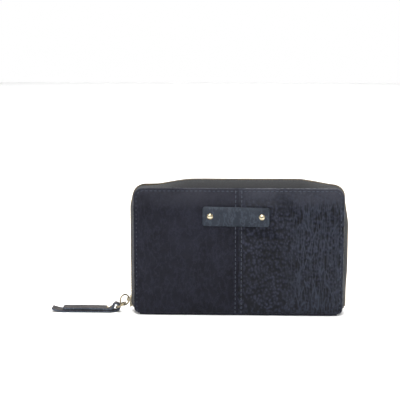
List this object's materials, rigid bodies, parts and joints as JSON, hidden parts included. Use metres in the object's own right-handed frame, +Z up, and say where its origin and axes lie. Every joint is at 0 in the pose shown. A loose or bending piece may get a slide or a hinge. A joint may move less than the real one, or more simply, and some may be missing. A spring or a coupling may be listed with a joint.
{
  "type": "zip around wallet",
  "caption": "Padded leather wallet that stands on its spine, closed by a metal zip round three edges, with a folded strap pull, a coin pocket and card slots.",
  "frame": {"origin": "middle of the spine's underside, where the closed wallet stands", "axes": "+X along the spine away from the zip's closed end, +Y from the front cover to the back cover, +Z up from the spine to the top zip"},
  "size_m": [0.2348, 0.0281, 0.1052],
  "materials": {
    "cover_leather": "smooth dark navy leather, low sheen",
    "grained_leather": "pebbled and crackled dark navy leather",
    "label_leather": "slate blue leather, smooth",
    "strap_leather": "slate blue leather with a brown face",
    "inner_leather": "thin navy leather",
    "lining": "dark woven lining",
    "foam": "thin padding foam",
    "board": "stiff bonded board",
    "zip_tape": "herringbone zip tape",
    "zip_metal": "antique brass teeth",
    "pull_metal": "antique brass",
    "rivet_metal": "pale polished brass"
  },
  "bodies": {
    "root": {"back_leather": "cover_leather", "back_foam": "foam", "back_board": "board", "back_lining": "lining", "back_card_panel_1": "inner_leather", "back_card_panel_2": "inner_leather", "back_card_panel_3": "inner_leather", "back_card_panel_4": "inner_leather", "spine_leather": "cover_leather", "spine_lining": "lining", "zip_tape_back": "zip_tape", "zip_teeth_back": "zip_metal", "zip_tape_end_left": "zip_tape", "zip_tape_end_right": "zip_tape", "zip_teeth_ends": "zip_metal", "gusset_left": "lining", "gusset_right": "lining"},
    "front_cover": {"front_leather_left": "cover_leather", "front_leather_right": "grained_leather", "front_foam": "foam", "front_board": "board", "front_lining": "lining", "front_card_panel_1": "inner_leather", "front_card_panel_2": "inner_leather", "front_card_panel_3": "inner_leather", "front_card_panel_4": "inner_leather", "zip_tape_front": "zip_tape", "zip_teeth_front": "zip_metal", "label_patch": "label_leather", "label_rivets": "rivet_metal"},
    "divider": {"coin_front_wall": "inner_leather", "coin_back_wall": "inner_leather", "coin_base": "inner_leather", "coin_side_left": "inner_leather", "coin_side_right": "inner_leather", "coin_tape_front": "zip_tape", "coin_tape_back": "zip_tape", "coin_teeth": "zip_metal"},
    "slider": {"slider": "pull_metal"},
    "pull_ring": {"pull_ring": "pull_metal"},
    "link_ring": {"link_ring": "pull_metal"},
    "strap": {"strap": "strap_leather", "strap_rivet": "rivet_metal"},
    "coin_slider": {"coin_slider": "pull_metal"},
    "coin_pull": {"coin_pull": "pull_metal"}
  },
  "joints": [
    {"name": "cover_open", "type": "hinge", "parent": "root", "child": "front_cover", "pos_m": [0, -0.011, 0.0015], "axis": [1, 0, 0], "range_deg": [0, 80], "deforming": ["gusset_left", "gusset_right"]},
    {"name": "divider_swing", "type": "hinge", "parent": "root", "child": "divider", "pos_m": [0, 0, 0.0042], "axis": [1, 0, 0], "range_deg": [0, 40]},
    {"name": "slider_run", "type": "slide", "parent": "root", "child": "slider", "axis": [0, 0, 1], "range_m": [0, 0.07]},
    {"name": "pull_ring_swing", "type": "hinge", "parent": "slider", "child": "pull_ring", "pos_m": [-0.08765, 0, 0.0096], "axis": [0, 0, 1], "range_deg": [-60, 10]},
    {"name": "link_ring_swing", "type": "hinge", "parent": "pull_ring", "child": "link_ring", "pos_m": [-0.09087, -0.0027, 0.0054], "axis": [-0.766, -0.6428, 0], "range_deg": [-25, 0]},
    {"name": "strap_swing", "type": "hinge", "parent": "link_ring", "child": "strap", "pos_m": [-0.09765, -0.0027, 0.00359], "axis": [0, -1, 0], "range_deg": [-55, 0]},
    {"name": "coin_slider_run", "type": "slide", "parent": "divider", "child": "coin_slider", "axis": [-1, 0, 0], "range_m": [0, 0.12]},
    {"name": "coin_pull_swing", "type": "hinge", "parent": "coin_slider", "child": "coin_pull", "pos_m": [0.0645, 0, 0.0885], "axis": [0, 1, 0], "range_deg": [0, 165]}
  ],
  "couplings": [
    {"joint": "divider_swing", "follows": "cover_open", "ratio": 0.5}
  ]
}
